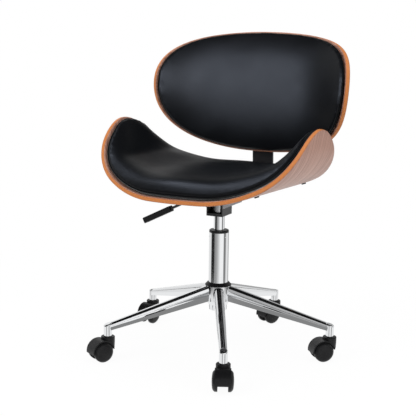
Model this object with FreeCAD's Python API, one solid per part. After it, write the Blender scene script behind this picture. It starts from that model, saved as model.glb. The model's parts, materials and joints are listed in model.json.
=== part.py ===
import FreeCAD, Part
import math
import os
from FreeCAD import Placement, Rotation, Vector

os.makedirs("parts", exist_ok=True)

# Office chair, in millimetres. The origin is on the floor, on the column's axis. +Z is up,
# the sitter looks along -Y, and the sitter's left hand is on the +X side.

# Fits and gaps
running_clearance = 0.05        # radial, a shaft that turns or slides in its bore
bolt_clearance = 0.2            # radial, a bolt in its hole
face_gap = 0.3                  # between faces that pass each other
pad_gap = 0.3                   # under an upholstered pad

# Casters
wheel_radius = 25.0
wheel_inner_face = 12.2         # from the caster's middle plane
wheel_tread_width = 5.6
wheel_shoulder_width = 6.8      # the rounded edge beside the tread
wheel_face_radius = 14.4
wheel_dome = 1.1                # how far the disc bulges
shoulder_mid_out = 0.63         # shoulder arc's middle, as shares of its width and its drop
shoulder_mid_in = 0.31
dome_mid_out = 0.75             # share of the bulge reached halfway in
wheel_rim_wall = 4.0
wheel_pocket_depth = 5.0
wheel_hub_radius = 7.5
wheel_running_gap = 1.2         # wheel to hood
axle_radius = 3.0
axle_half_length = 22.5
axle_boss_radius = 7.0
caster_trail = 20.0
fender_wall = 3.2
fender_half_width = 18.8
fender_bottom_z = 21.4
boss_radius = 17.2
boss_foot_radius = 16.3         # the boss narrows towards the floor
boss_straight = 14.0            # upper part of the boss that doesn't narrow
boss_rise = 5.6                 # boss top above the fender's top
boss_edge_radius = 2.5
boss_front_bottom_z = 30.5
hood_lip_share = 0.6            # fender radii before the axle where the front lip starts
stem_radius = 5.5
stem_collar_radius = 8.0
stem_collar_height = 0.6
stem_length = 22.0              # above its collar
stem_depth = 18.0               # inside the boss
stem_chamfer = 1.2
caster_headings = [24.3, 311.7, 333.0, 355.0, 329.7]

# Five-star base
arm_count = 5
first_arm_azimuth = 28.2        # degrees from -Y towards +X
socket_circle_radius = 289.0
socket_radius = 10.25
socket_stem_room = 1.5          # free bore above the stem's end
arm_wall = 1.6
arm_tip_width = 19.0
arm_tip_height = 17.0
arm_tip_rise = 13.7             # arm's underside above the socket's foot
arm_hub_width = 27.0
arm_hub_height = 39.0
arm_climb = 53.5                # arm's underside, from tip to hub
arm_fold_share = 0.4            # of the arm's height, where its crown meets the lower sides
arm_crown_power = 2.8           # how square the crown is; 2 makes an ellipse
arm_crown_steps = 16
arm_side_lean = 7.0             # degrees, lower sides drawn in towards the floor
hub_radius = 32.0
hub_skirt = 10.0                # hub below the arms
hub_crest = 0.8                 # hub above the arms
hub_foot_radius = 24.7          # the hub narrows towards its foot
hub_foot_height = 11.0
ring_height = 8.5
ring_foot_radius = 33.4
ring_top_radius = 26.6
ring_edge = 1.2                 # upright edge at the ring's foot

# Column
column_radius = 25.0
column_wall = 1.6
column_height = 136.9           # above the hub
column_stub = 14.0              # below the hub
column_foot_radius = 22.6       # the tapered foot's end
column_end_plate = 3.0
crimp_radius = 2.2
crimp_depth = 1.0
crimp_drop = 11.0               # below the column's top
crimp_count = 3
first_crimp_azimuth = 66.0
bushing_length = 60.0
bushing_collar_height = 6.0
bushing_collar_radius = 24.8
bushing_edge_radius = 2.0
race_radius = 12.0
race_thickness = 2.0
ball_radius = 1.95
ball_count = 8
ball_circle_radius = 8.6
cage_thickness = 2.0
cage_inner_radius = 6.0
cage_outer_radius = 11.2

# Gas spring
rod_radius = 5.0
rod_neck_radius = 4.0
rod_tail = 3.0                  # neck below the retaining clip
clip_radius = 8.0
clip_thickness = 1.2
cylinder_radius = 14.0
cylinder_wall = 1.75
cylinder_guide = 8.0            # end piece that the rod passes through
cylinder_head = 16.0            # solid head that holds the release pin
cylinder_taper = 0.6            # how much the head's radius narrows
rest_extension = 38.5           # chromed cylinder seen between the bushing and the housing
lower_travel = 30.0
upper_travel = 55.0
travel_margin = 9.0             # free height left at each end of the travel
piston_height = 12.0
pin_radius = 4.0
pin_tip_radius = 2.0
pin_rise = 9.2                  # above the cylinder's head
pin_depth = 11.0                # inside the head
pin_bore_spare = 2.5

# Seat mechanism
housing_width = 44.0
housing_front = 29.0
housing_rear_gap = 8.2          # behind the cone socket
housing_height = 57.5           # from its floor to the seat's underside, on the column's axis
housing_wall = 3.0
housing_lip = 7.0
housing_fold_radius = 4.0
cone_wall = 4.8
cone_height = 24.0
cylinder_head_rise = 3.0        # cylinder's top above the cone socket
plate_thickness = 3.0
flange_thickness = 2.5          # the plate's folded sides
flange_drop = 21.0              # from the housing's floor to the sides' lower edge
flange_rear = 82.0              # behind the column's axis
plate_length = 190.0
plate_corner_radius = 12.0
plate_margin = 0.3              # plate's edge inside the seat's flat strip
bolt_radius = 3.0
bolt_head_radius = 5.5
bolt_head_height = 3.3
bolt_head_rounding = 1.4
plate_bolt_spacing_x = 90.0
plate_bolt_spacing_y = 150.0
bolt_end_cover = 2.0            # plywood left above a bolt's end

# Height lever
lever_radius = 3.5
lever_inner_reach = 6.0         # past the column's axis
lever_bend_x = 55.4
lever_bend_radius = 25.0
lever_slope = 26.6              # degrees below level
lever_end_x = 196.0
lever_pivot_x = 13.5
lever_eye_radius = 5.0
lever_eye_width = 11.6
lever_swing = 7.0               # degrees
pivot_radius = 2.5
ear_thickness = 3.0
ear_height = 13.0
ear_reach = 12.5                # from the housing's wall
grip_start_x = 136.7
grip_length = 86.0
grip_height = 15.5
grip_width = 19.0
grip_notch_depth = 3.2
grip_notch_width = 6.0
grip_notch_from_end = 9.5
grip_edge_radius = 2.2

# Seat shell and pad. Lengths across the shell are measured along its bent surface.
ply_thickness = 11.0
seat_centre_y = -21.3
seat_tilt = 2.12                # degrees, rear lower
seat_flat_half_width = 60.3
seat_bends = [(281.0, 28.1), (142.7, 52.5)]
seat_half_width = 366.6
seat_front_reach = 236.0
seat_rear_reach = 250.3
seat_side_power = 1.7
seat_front_power = 1.78
seat_rear_power = 2.02
seat_wing_sweep = -7.0          # wing tips forward
seat_pad_edge = 20.0            # at the wings' tips
seat_pad_swell = 24.0           # how much more at the middle
seat_pad_crown = 10.0           # above the edges, at the middle
side_screw_s = 158.0
side_screw_front_t = -108.6
side_screw_rear_t = 197.6
side_screw_radius = 2.5
side_screw_head_radius = 6.0
side_screw_head_height = 3.0
side_screw_head_rounding = 1.2

# Back shell and pad
back_setback = 55.9             # back's middle behind the seat's rear edge
back_rise = 239.0               # back's middle above the seat's middle
back_tilt = 9.7                 # degrees, leaning back
back_flat_half_width = 64.5
back_bends = [(236.8, 62.8)]
back_half_width = 327.6
back_lower_reach = 169.2
back_upper_reach = 152.9
back_side_power = 2.328
back_lower_power = 2.125
back_upper_power = 2.012
back_pad_edge = 19.0
back_pad_swell = 2.0
back_pad_crown = 14.0

# Pads
seat_pad_inset = 1.5            # pad's edge inside the shell's edge
back_pad_inset = 0.4
pad_tuck = 4.0                  # how far the side is drawn in at the bottom
pad_roll = 9.0                  # how far it leans in at the top
pad_tip_radius = 34.0           # how early the pad thins towards a wing's tip
pad_tip_thinning = 0.85
pad_tuck_limit = 0.2            # of half the pad's length, where it is short
pad_roll_limit = 0.35
pad_least_crown = 0.05          # of half the pad's length, above its edge
pad_crown_power = 3             # how flat the crown stays before it falls to the wings
pad_swell_power = 2

# Back bracket
bracket_width = 59.0
bracket_thickness = 6.0
bracket_seat_start_t = 121.0    # along the seat, from its middle
bracket_rear_gap = 45.0         # upright behind the seat's rear edge
bracket_seat_radius = 28.0
bracket_back_radius = 60.0
bracket_contact_t = -112.0      # along the back, where the bar meets it
bracket_end_t = 12.0
bracket_corner_radius = 8.0
bracket_bolt_spacing_x = 32.0
bracket_seat_bolts_t = [145.0, 205.0]
bracket_back_bolts_t = [-80.0, -20.0]

# Screw heads' hexagon sockets, as shares of the shank's radius and of the head's height
screw_socket_width = 0.6
screw_socket_depth = 0.5

# Shape of the lofts
half_stations = 12
shell_end = 0.999               # share of the half width where a shell's tip is cut
pad_end = 0.996
trim_overhang = 5.0             # trimming body beyond the plywood's faces
cut_margin = 5.0                # cutting bodies beyond what they cut
tiny = 1e-3                     # lengths that count as equal when edges are picked

# Heights that follow from the sizes above
axle_z = wheel_radius
fender_inner_radius = wheel_radius + wheel_running_gap
fender_outer_radius = fender_inner_radius + fender_wall
boss_top_z = axle_z + fender_outer_radius + boss_rise
socket_bottom_z = boss_top_z + stem_collar_height + running_clearance
stem_top_z = boss_top_z + stem_collar_height + stem_length
arm_tip_bottom_z = socket_bottom_z + arm_tip_rise
arm_tip_top_z = arm_tip_bottom_z + arm_tip_height
arm_hub_bottom_z = arm_tip_bottom_z + arm_climb
arm_hub_top_z = arm_hub_bottom_z + arm_hub_height
hub_bottom_z = arm_hub_bottom_z - hub_skirt
hub_top_z = arm_hub_top_z + hub_crest
column_bottom_z = hub_bottom_z - column_stub
column_top_z = hub_top_z + column_height
column_floor_z = column_bottom_z + column_end_plate
lower_race_top_z = column_floor_z + race_thickness
ball_z = lower_race_top_z + ball_radius + running_clearance
upper_race_bottom_z = ball_z + ball_radius + running_clearance
upper_race_top_z = upper_race_bottom_z + race_thickness
bushing_top_z = column_top_z + bushing_collar_height
housing_bottom_z = bushing_top_z + rest_extension
housing_floor_z = housing_bottom_z + housing_wall
cone_top_z = housing_floor_z + cone_height
cone_outer_radius = cylinder_radius + cone_wall
housing_rear = cone_outer_radius + housing_rear_gap + housing_wall
cylinder_top_z = cone_top_z + cylinder_head_rise
cylinder_bottom_z = upper_race_top_z + lower_travel + travel_margin
cavity_bottom_z = cylinder_bottom_z + cylinder_guide
cavity_top_z = cylinder_top_z - cylinder_head
piston_bottom_z = cavity_bottom_z + upper_travel + travel_margin
piston_top_z = piston_bottom_z + piston_height
lever_z = cylinder_top_z + pin_rise + face_gap + lever_radius
seat_column_z = housing_bottom_z + housing_height
seat_centre_z = seat_column_z - seat_centre_y * math.tan(math.radians(seat_tilt))
back_centre_y = seat_centre_y + seat_rear_reach * math.cos(math.radians(seat_tilt)) + back_setback
back_centre_z = seat_centre_z + back_rise

# Frames of the seat and the back: across, along, and out of the shell towards the sitter
seat_frame = Placement(Vector(0, seat_centre_y, seat_centre_z), Rotation(Vector(1, 0, 0), -seat_tilt))
back_frame = Placement(Vector(0, back_centre_y, back_centre_z), Rotation(Vector(1, 0, 0), 90 - back_tilt))
up = Vector(0, 0, 1)
across = Vector(1, 0, 0)
along = Vector(0, 1, 0)


def save(name, *solids):
    """Write one sub-part, which may be a group of like solids."""
    shape = solids[0] if len(solids) == 1 else Part.makeCompound(list(solids))
    shape.exportStep("parts/" + name + ".step")


def cylinder(radius, bottom, top, x=0.0, y=0.0):
    """Upright cylinder between two heights."""
    return Part.makeCylinder(radius, top - bottom, Vector(x, y, bottom))


def tube(outer, inner, bottom, top):
    """Upright tube on the column's axis."""
    return cylinder(outer, bottom, top).cut(cylinder(inner, bottom - cut_margin, top + cut_margin))


def cone(bottom_radius, top_radius, bottom, top):
    """Upright cone on the column's axis."""
    return Part.makeCone(bottom_radius, top_radius, top - bottom, Vector(0, 0, bottom))


def box(x0, x1, y0, y1, z0, z1):
    """Box between two corners."""
    return Part.makeBox(x1 - x0, y1 - y0, z1 - z0, Vector(x0, y0, z0))


def turned(shape, azimuth, x=0.0, y=0.0, z=0.0):
    """Turn a copy about the column's axis, then move it."""
    placed = shape.copy()
    placed.rotate(Vector(0, 0, 0), up, azimuth)
    placed.translate(Vector(x, y, z))
    return placed


def in_frame(shape, frame):
    """Copy a shape out of the seat's or the back's own frame."""
    placed = shape.copy()
    placed.Placement = frame.multiply(placed.Placement)
    return placed


def polygon(points):
    """Closed wire through points."""
    return Part.makePolygon(points + points[:1])


def edges_at_height(solid, height):
    """Edges that lie in one level plane."""
    return [edge for edge in solid.Edges
            if abs(edge.BoundBox.ZMin - height) < tiny and abs(edge.BoundBox.ZMax - height) < tiny]


def button_screw(shank_radius, shank_length, head_radius, head_height, rounding):
    """Screw whose head lies below the plane z = 0 and whose shank points up."""
    head = cylinder(head_radius, -head_height, 0)
    head = head.makeFillet(rounding, edges_at_height(head, -head_height))
    socket = cylinder(shank_radius * screw_socket_width, -head_height - cut_margin,
                      -head_height * (1 - screw_socket_depth))
    return head.cut(socket).fuse(cylinder(shank_radius, 0, shank_length)).removeSplitter()


# Casters: twin wheels under a nylon hood that swivels on a steel stem. Each is modelled at
# the column's axis with its wheels trailing towards -Y, then turned and moved to its arm.
def caster_wheel(side):
    face_x = wheel_inner_face + wheel_tread_width + wheel_shoulder_width
    tread_end_x = wheel_inner_face + wheel_tread_width
    dome_x = face_x + wheel_dome
    rim_inner = wheel_radius - wheel_rim_wall
    pocket_x = wheel_inner_face + wheel_pocket_depth
    bore = axle_radius + running_clearance
    bore_end_x = axle_half_length + face_gap
    shoulder_mid = Vector(tread_end_x + shoulder_mid_out * wheel_shoulder_width, 0,
                          wheel_radius - shoulder_mid_in * (wheel_radius - wheel_face_radius))
    dome_mid = Vector(face_x + dome_mid_out * wheel_dome, 0, 0.5 * wheel_face_radius)
    crown = Vector(dome_x, 0, 0)
    face_edge = Vector(face_x, 0, wheel_face_radius)
    tread_edge = Vector(tread_end_x, 0, wheel_radius)
    corners = [tread_edge, Vector(wheel_inner_face, 0, wheel_radius), Vector(wheel_inner_face, 0, rim_inner),
               Vector(pocket_x, 0, rim_inner), Vector(pocket_x, 0, wheel_hub_radius),
               Vector(wheel_inner_face, 0, wheel_hub_radius), Vector(wheel_inner_face, 0, bore),
               Vector(bore_end_x, 0, bore), Vector(bore_end_x, 0, 0), crown]
    edges = [Part.Arc(crown, dome_mid, face_edge).toShape(),
             Part.Arc(face_edge, shoulder_mid, tread_edge).toShape()]
    edges += [Part.LineSegment(a, b).toShape() for a, b in zip(corners[:-1], corners[1:])]
    wheel = Part.Face(Part.Wire(edges)).revolve(Vector(0, 0, 0), across, 360)
    wheel = Part.makeSolid(wheel) if wheel.ShapeType == "Shell" else wheel
    if side < 0:
        wheel = wheel.mirror(Vector(0, 0, 0), across)
    wheel.translate(Vector(0, -caster_trail, axle_z))
    return wheel


def cross_cylinder(radius, x0, x1):
    """Cylinder on the axle's line."""
    return Part.makeCylinder(radius, x1 - x0, Vector(x0, -caster_trail, axle_z), across)


def caster_hood():
    wheel_outside = wheel_inner_face + wheel_tread_width + wheel_shoulder_width + wheel_dome + cut_margin
    boss = cylinder(boss_radius, boss_top_z - boss_straight, boss_top_z)
    boss = boss.makeFillet(boss_edge_radius, edges_at_height(boss, boss_top_z))
    boss = boss.fuse(cone(boss_foot_radius, boss_radius, boss_front_bottom_z, boss_top_z - boss_straight))
    fender = cross_cylinder(fender_outer_radius, -fender_half_width, fender_half_width)
    hood = boss.fuse(fender)
    reach = caster_trail + 2 * fender_outer_radius
    hood = hood.cut(box(-reach, reach, -reach, reach, -fender_outer_radius, fender_bottom_z))
    leading = box(-reach, reach, -caster_trail + hood_lip_share * fender_outer_radius, reach,
                  0, boss_front_bottom_z)
    web_half = wheel_inner_face - wheel_running_gap
    hood = hood.cut(leading).fuse(cross_cylinder(axle_boss_radius, -web_half, web_half))
    hood = hood.cut(cross_cylinder(fender_inner_radius, web_half, wheel_outside))
    hood = hood.cut(cross_cylinder(fender_inner_radius, -wheel_outside, -web_half))
    hood = hood.cut(cross_cylinder(axle_radius, -wheel_outside, wheel_outside))
    hood = hood.cut(cylinder(stem_radius, boss_top_z - stem_depth, boss_top_z + cut_margin))
    return hood.removeSplitter()


def caster_stem():
    collar_top_z = boss_top_z + stem_collar_height
    stem = cylinder(stem_radius, boss_top_z - stem_depth, stem_top_z)
    stem = stem.makeChamfer(stem_chamfer, edges_at_height(stem, stem_top_z))
    return stem.fuse(cylinder(stem_collar_radius, boss_top_z, collar_top_z)).removeSplitter()


def arm_azimuth(index):
    return first_arm_azimuth + index * 360.0 / arm_count


def save_casters():
    pieces = {"stem": caster_stem(), "hood": caster_hood(),
              "axle": cross_cylinder(axle_radius, -axle_half_length, axle_half_length),
              "wheel_left": caster_wheel(1), "wheel_right": caster_wheel(-1)}
    for index in range(arm_count):
        azimuth = math.radians(arm_azimuth(index))
        x = socket_circle_radius * math.sin(azimuth)
        y = -socket_circle_radius * math.cos(azimuth)
        heading = caster_headings[index % len(caster_headings)]
        for piece, shape in pieces.items():
            save("caster_%d_%s" % (index + 1, piece), turned(shape, heading, x, y))


# Five-star base: pressed steel arms, welded to the hub and to the caster sockets, all chromed.
def arm_section(distance, width, bottom, top):
    """Rounded crown over two lower sides that are drawn in towards the foot."""
    half = 0.5 * width
    fold = bottom + arm_fold_share * (top - bottom)
    foot = half - (fold - bottom) * math.tan(math.radians(arm_side_lean))
    crown = []
    for step in range(arm_crown_steps + 1):
        angle = math.pi * step / arm_crown_steps
        x = math.copysign(abs(math.cos(angle)) ** (2 / arm_crown_power), math.cos(angle))
        z = abs(math.sin(angle)) ** (2 / arm_crown_power) if 0 < step < arm_crown_steps else 0.0
        crown.append(Vector(half * x, -distance, fold + (top - fold) * z))
    curve = Part.BSplineCurve()
    curve.interpolate(Points=crown, InitialTangent=up, FinalTangent=-up)
    foot_left = Vector(-foot, -distance, bottom)
    foot_right = Vector(foot, -distance, bottom)
    return Part.Wire([Part.LineSegment(foot_left, foot_right).toShape(),
                      Part.LineSegment(foot_right, crown[0]).toShape(),
                      curve.toShape(),
                      Part.LineSegment(crown[-1], foot_left).toShape()])


def arm_loft(inset):
    """Tapered arm from the column's axis to the socket's axis, all faces moved in by inset."""
    run = socket_circle_radius - hub_radius
    grow = socket_circle_radius / run

    def at_axis(tip, hub):
        return tip + (hub - tip) * grow

    width = at_axis(arm_tip_width, arm_hub_width)
    bottom = at_axis(arm_tip_bottom_z, arm_hub_bottom_z)
    top = at_axis(arm_tip_top_z, arm_hub_top_z)
    inner = arm_section(0, width - 2 * inset, bottom + inset, top - inset)
    outer = arm_section(socket_circle_radius, arm_tip_width - 2 * inset,
                        arm_tip_bottom_z + inset, arm_tip_top_z - inset)
    return Part.makeLoft([inner, outer], True, True)


def base_arm():
    arm = arm_loft(0).cut(arm_loft(arm_wall))
    arm = arm.cut(cylinder(hub_radius, hub_bottom_z - cut_margin, column_top_z))
    return arm.cut(cylinder(socket_radius, 0, hub_top_z, 0, -socket_circle_radius))


def caster_socket():
    crest = arm_tip_top_z + 2 * socket_radius
    post = cylinder(socket_radius, socket_bottom_z, crest, 0, -socket_circle_radius)
    slope = (arm_hub_top_z - arm_tip_top_z) / (socket_circle_radius - hub_radius)
    near = -socket_circle_radius + 2 * socket_radius
    far = -socket_circle_radius - 2 * socket_radius
    profile = [Vector(-2 * socket_radius, near, arm_tip_top_z + slope * 2 * socket_radius),
               Vector(-2 * socket_radius, far, arm_tip_top_z - slope * 2 * socket_radius),
               Vector(-2 * socket_radius, far, crest + cut_margin),
               Vector(-2 * socket_radius, near, crest + cut_margin)]
    wedge = Part.Face(polygon(profile)).extrude(Vector(4 * socket_radius, 0, 0))
    bore_top = stem_top_z + socket_stem_room
    bore = cylinder(stem_radius + running_clearance, socket_bottom_z - cut_margin, bore_top,
                    0, -socket_circle_radius)
    return post.cut(wedge).cut(bore)


def column_outside():
    foot = cone(column_foot_radius, column_radius, column_bottom_z, hub_top_z)
    return foot.fuse(cylinder(column_radius, hub_top_z, column_top_z)).removeSplitter()


def base_hub():
    foot_top_z = hub_bottom_z + hub_foot_height
    hub = cone(hub_foot_radius, hub_radius, hub_bottom_z, foot_top_z)
    hub = hub.fuse(cylinder(hub_radius, foot_top_z, hub_top_z))
    return hub.cut(column_outside()).removeSplitter()


def hub_cover_ring():
    edge_top_z = hub_top_z + ring_edge
    ring = cone(ring_foot_radius, ring_top_radius, edge_top_z, hub_top_z + ring_height)
    ring = ring.fuse(cylinder(ring_foot_radius, hub_top_z, edge_top_z))
    return ring.cut(cylinder(column_radius, hub_top_z - cut_margin, column_top_z)).removeSplitter()


def save_base():
    arm = base_arm()
    socket = caster_socket()
    for index in range(arm_count):
        save("base_arm_%d" % (index + 1), turned(arm, arm_azimuth(index)))
        save("caster_socket_%d" % (index + 1), turned(socket, arm_azimuth(index)))
    save("base_hub", base_hub())
    save("hub_cover_ring", hub_cover_ring())


# Column: chromed tube with a tapered foot, the guide bushing in its mouth, and the thrust
# bearing on its floor, on which the gas spring's rod stands and turns.
def column_tube():
    inside = cone(column_foot_radius - column_wall, column_radius - column_wall, column_bottom_z, hub_top_z)
    inside = inside.cut(cylinder(column_radius, column_bottom_z, column_floor_z))
    inside = inside.fuse(cylinder(column_radius - column_wall, hub_top_z, column_top_z + cut_margin))
    tube_solid = column_outside().cut(inside)
    floor_hole = cylinder(rod_neck_radius + bolt_clearance, column_bottom_z - cut_margin, ball_z)
    tube_solid = tube_solid.cut(floor_hole)
    for index in range(crimp_count):
        angle = math.radians(first_crimp_azimuth + index * 360.0 / crimp_count)
        offset = column_radius + crimp_radius - crimp_depth
        centre = Vector(offset * math.sin(angle), -offset * math.cos(angle), column_top_z - crimp_drop)
        tube_solid = tube_solid.cut(Part.makeSphere(crimp_radius, centre))
    return tube_solid


def guide_bushing():
    sleeve = cylinder(column_radius - column_wall, column_top_z - bushing_length, column_top_z)
    collar = cylinder(bushing_collar_radius, column_top_z, bushing_top_z)
    collar = collar.makeFillet(bushing_edge_radius, edges_at_height(collar, bushing_top_z))
    bore = cylinder(cylinder_radius + running_clearance, column_bottom_z, bushing_top_z + cut_margin)
    return sleeve.fuse(collar).cut(bore).removeSplitter()


def thrust_bearing():
    half = 0.5 * cage_thickness
    cage = tube(cage_outer_radius, cage_inner_radius, ball_z - half, ball_z + half)
    balls = []
    for index in range(ball_count):
        angle = 2 * math.pi * index / ball_count
        x = ball_circle_radius * math.cos(angle)
        y = ball_circle_radius * math.sin(angle)
        cage = cage.cut(cylinder(ball_radius + running_clearance, column_floor_z, upper_race_top_z, x, y))
        balls.append(Part.makeSphere(ball_radius, Vector(x, y, ball_z)))
    return [cage] + balls


def piston_rod():
    clip_bottom_z = column_bottom_z - face_gap - clip_thickness
    neck = cylinder(rod_neck_radius, clip_bottom_z - rod_tail, upper_race_top_z)
    rod = neck.fuse(cylinder(rod_radius, upper_race_top_z, piston_top_z))
    piston_radius = cylinder_radius - cylinder_wall - running_clearance
    return rod.fuse(cylinder(piston_radius, piston_bottom_z, piston_top_z)).removeSplitter()


def save_column():
    save("column_tube", column_tube())
    save("guide_bushing", guide_bushing())
    lower_race = tube(race_radius, rod_neck_radius + bolt_clearance, column_floor_z, lower_race_top_z)
    save("thrust_race_lower", lower_race)
    save("thrust_bearing", *thrust_bearing())
    save("thrust_race_upper", tube(race_radius, rod_neck_radius, upper_race_bottom_z, upper_race_top_z))
    save("piston_rod", piston_rod())
    clip_top_z = column_bottom_z - face_gap
    save("retaining_clip", tube(clip_radius, rod_neck_radius, clip_top_z - clip_thickness, clip_top_z))


# Gas spring: chromed pressure cylinder whose tapered head sits in the mechanism's cone socket.
def cylinder_outside():
    straight = cylinder(cylinder_radius, cylinder_bottom_z, housing_floor_z)
    head = cone(cylinder_radius, cylinder_radius - cylinder_taper, housing_floor_z, cone_top_z)
    stub = cylinder(cylinder_radius - cylinder_taper, cone_top_z, cylinder_top_z)
    return straight.fuse(head).fuse(stub).removeSplitter()


def gas_cylinder():
    body = cylinder_outside()
    body = body.cut(cylinder(cylinder_radius - cylinder_wall, cavity_bottom_z, cavity_top_z))
    body = body.cut(cylinder(rod_radius + running_clearance, cylinder_bottom_z - cut_margin, cavity_bottom_z))
    pin_bore_bottom = cylinder_top_z - pin_depth - pin_bore_spare
    return body.cut(cylinder(pin_radius + running_clearance, pin_bore_bottom, cylinder_top_z + cut_margin))


def release_pin():
    tip_height = pin_radius - pin_tip_radius
    pin_top_z = cylinder_top_z + pin_rise
    barrel = cylinder(pin_radius, cylinder_top_z - pin_depth, pin_top_z - tip_height)
    return barrel.fuse(cone(pin_radius, pin_tip_radius, pin_top_z - tip_height, pin_top_z)).removeSplitter()


# Mechanism: a folded steel housing, open at the front, welded under a flat plate that is
# bolted to the seat. The lever turns on a pin between two ears and presses the release pin.
def plate_underside_cut():
    """Everything above the tilted plate's underside."""
    reach = plate_length
    return in_frame(box(-reach, reach, -2 * reach, 2 * reach, -plate_thickness, reach), seat_frame)


def lever_slot():
    """Room for the lever through the housing's and the plate's left sides."""
    outside = 0.5 * housing_width + flange_thickness
    slot_half = lever_radius + face_gap
    swing_rise = (outside - lever_pivot_x) * math.tan(math.radians(lever_swing)) + face_gap
    return box(-outside - cut_margin, -0.5 * housing_width + housing_wall + cut_margin, -slot_half, slot_half,
               lever_z - slot_half, lever_z + slot_half + swing_rise)


def mechanism_housing():
    half = 0.5 * housing_width
    tall = seat_column_z + cut_margin
    shell = box(-half, half, -housing_front, housing_rear, housing_bottom_z, tall)
    upright_rear = [edge for edge in shell.Edges
                    if abs(edge.BoundBox.YMin - housing_rear) < tiny and edge.BoundBox.XLength < tiny
                    and edge.BoundBox.ZLength > housing_wall]
    shell = shell.makeFillet(housing_fold_radius, upright_rear)
    inside = half - housing_wall
    room = box(-inside, inside, -housing_front - cut_margin, housing_rear - housing_wall,
               housing_floor_z, tall + cut_margin)
    shell = shell.cut(room)
    shell = shell.fuse(box(-half, half, -housing_front, -housing_front + housing_wall,
                           housing_bottom_z, housing_bottom_z + housing_lip))
    shell = shell.cut(cylinder(cylinder_radius + face_gap, housing_bottom_z - cut_margin, housing_floor_z))
    shell = shell.cut(lever_slot())
    ear_inner = 0.5 * lever_eye_width + face_gap
    for low, high in ((ear_inner, ear_inner + ear_thickness), (-ear_inner - ear_thickness, -ear_inner)):
        shell = shell.fuse(box(-inside, -inside + ear_reach, low, high,
                               lever_z - 0.5 * ear_height, lever_z + 0.5 * ear_height))
    pin_hole = Part.makeCylinder(pivot_radius, housing_width, Vector(-lever_pivot_x, -inside, lever_z), along)
    return shell.cut(pin_hole).cut(plate_underside_cut()).removeSplitter()


def cone_socket():
    outside = cylinder(cone_outer_radius, housing_floor_z, cone_top_z)
    return outside.cut(cylinder_outside())


def plate_bolt_places():
    """Middle of each plate bolt in the seat's frame, centred on the column."""
    middle_t = -seat_centre_y
    return [(sx * 0.5 * plate_bolt_spacing_x, middle_t + sy * 0.5 * plate_bolt_spacing_y)
            for sx in (-1, 1) for sy in (-1, 1)]


def mechanism_plate():
    half = seat_flat_half_width - plate_margin
    front = -seat_centre_y - 0.5 * plate_length
    plate = box(-half, half, front, front + plate_length, -plate_thickness, 0)
    corners = [edge for edge in plate.Edges if edge.BoundBox.ZLength > 0.5 * plate_thickness]
    plate = plate.makeFillet(plate_corner_radius, corners)
    for x, t in plate_bolt_places():
        hole = cylinder(bolt_radius + bolt_clearance, -plate_thickness - cut_margin, cut_margin, x, t)
        plate = plate.cut(hole)
    inside = 0.5 * housing_width
    sides = []
    for low, high in ((inside, inside + flange_thickness), (-inside - flange_thickness, -inside)):
        side = box(low, high, -housing_front, flange_rear, housing_bottom_z + flange_drop,
                   seat_column_z + cut_margin)
        sides.append(side.cut(plate_underside_cut()).cut(lever_slot()))
    return in_frame(plate, seat_frame).fuse(sides).removeSplitter()


def save_mechanism():
    save("gas_cylinder", gas_cylinder())
    save("release_pin", release_pin())
    save("mechanism_housing", mechanism_housing())
    save("cone_socket", cone_socket())
    save("mechanism_plate", mechanism_plate())
    shank = plate_thickness + ply_thickness - bolt_end_cover
    bolt = button_screw(bolt_radius, shank, bolt_head_radius, bolt_head_height, bolt_head_rounding)
    bolts = []
    for x, t in plate_bolt_places():
        placed = bolt.copy()
        placed.translate(Vector(x, t, -plate_thickness))
        bolts.append(in_frame(placed, seat_frame))
    save("plate_bolts", *bolts)


# Height lever: a bent steel rod with an eye, and a plastic grip pushed on its end.
def lever_point(x):
    """Point of the sloping part's axis at a distance x to the sitter's right of the column."""
    return Vector(-x, 0, lever_z - (x - lever_bend_x) * math.tan(math.radians(lever_slope)))


def lever_rod():
    slope = math.radians(lever_slope)
    setback = lever_bend_radius * math.tan(0.5 * slope)
    start = Vector(lever_inner_reach, 0, lever_z)
    corner = Vector(-lever_bend_x, 0, lever_z)
    bend_start = corner + Vector(setback, 0, 0)
    out = Vector(-math.cos(slope), 0, -math.sin(slope))
    bend_end = corner + out * setback
    centre = bend_start - Vector(0, 0, lever_bend_radius)
    half = 0.5 * slope
    middle = centre + Vector(-math.sin(half), 0, math.cos(half)) * lever_bend_radius
    path = Part.Wire([Part.LineSegment(start, bend_start).toShape(),
                      Part.Arc(bend_start, middle, bend_end).toShape(),
                      Part.LineSegment(bend_end, lever_point(lever_end_x)).toShape()])
    section = Part.Wire([Part.Circle(start, across, lever_radius).toShape()])
    rod = path.makePipeShell([section], True, False)
    eye_start = Vector(-lever_pivot_x, -0.5 * lever_eye_width, lever_z)
    rod = rod.fuse(Part.makeCylinder(lever_eye_radius, lever_eye_width, eye_start, along))
    bore_start = Vector(-lever_pivot_x, -lever_eye_width, lever_z)
    bore = Part.makeCylinder(pivot_radius + running_clearance, 2 * lever_eye_width, bore_start, along)
    return rod.cut(bore).removeSplitter()


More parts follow.
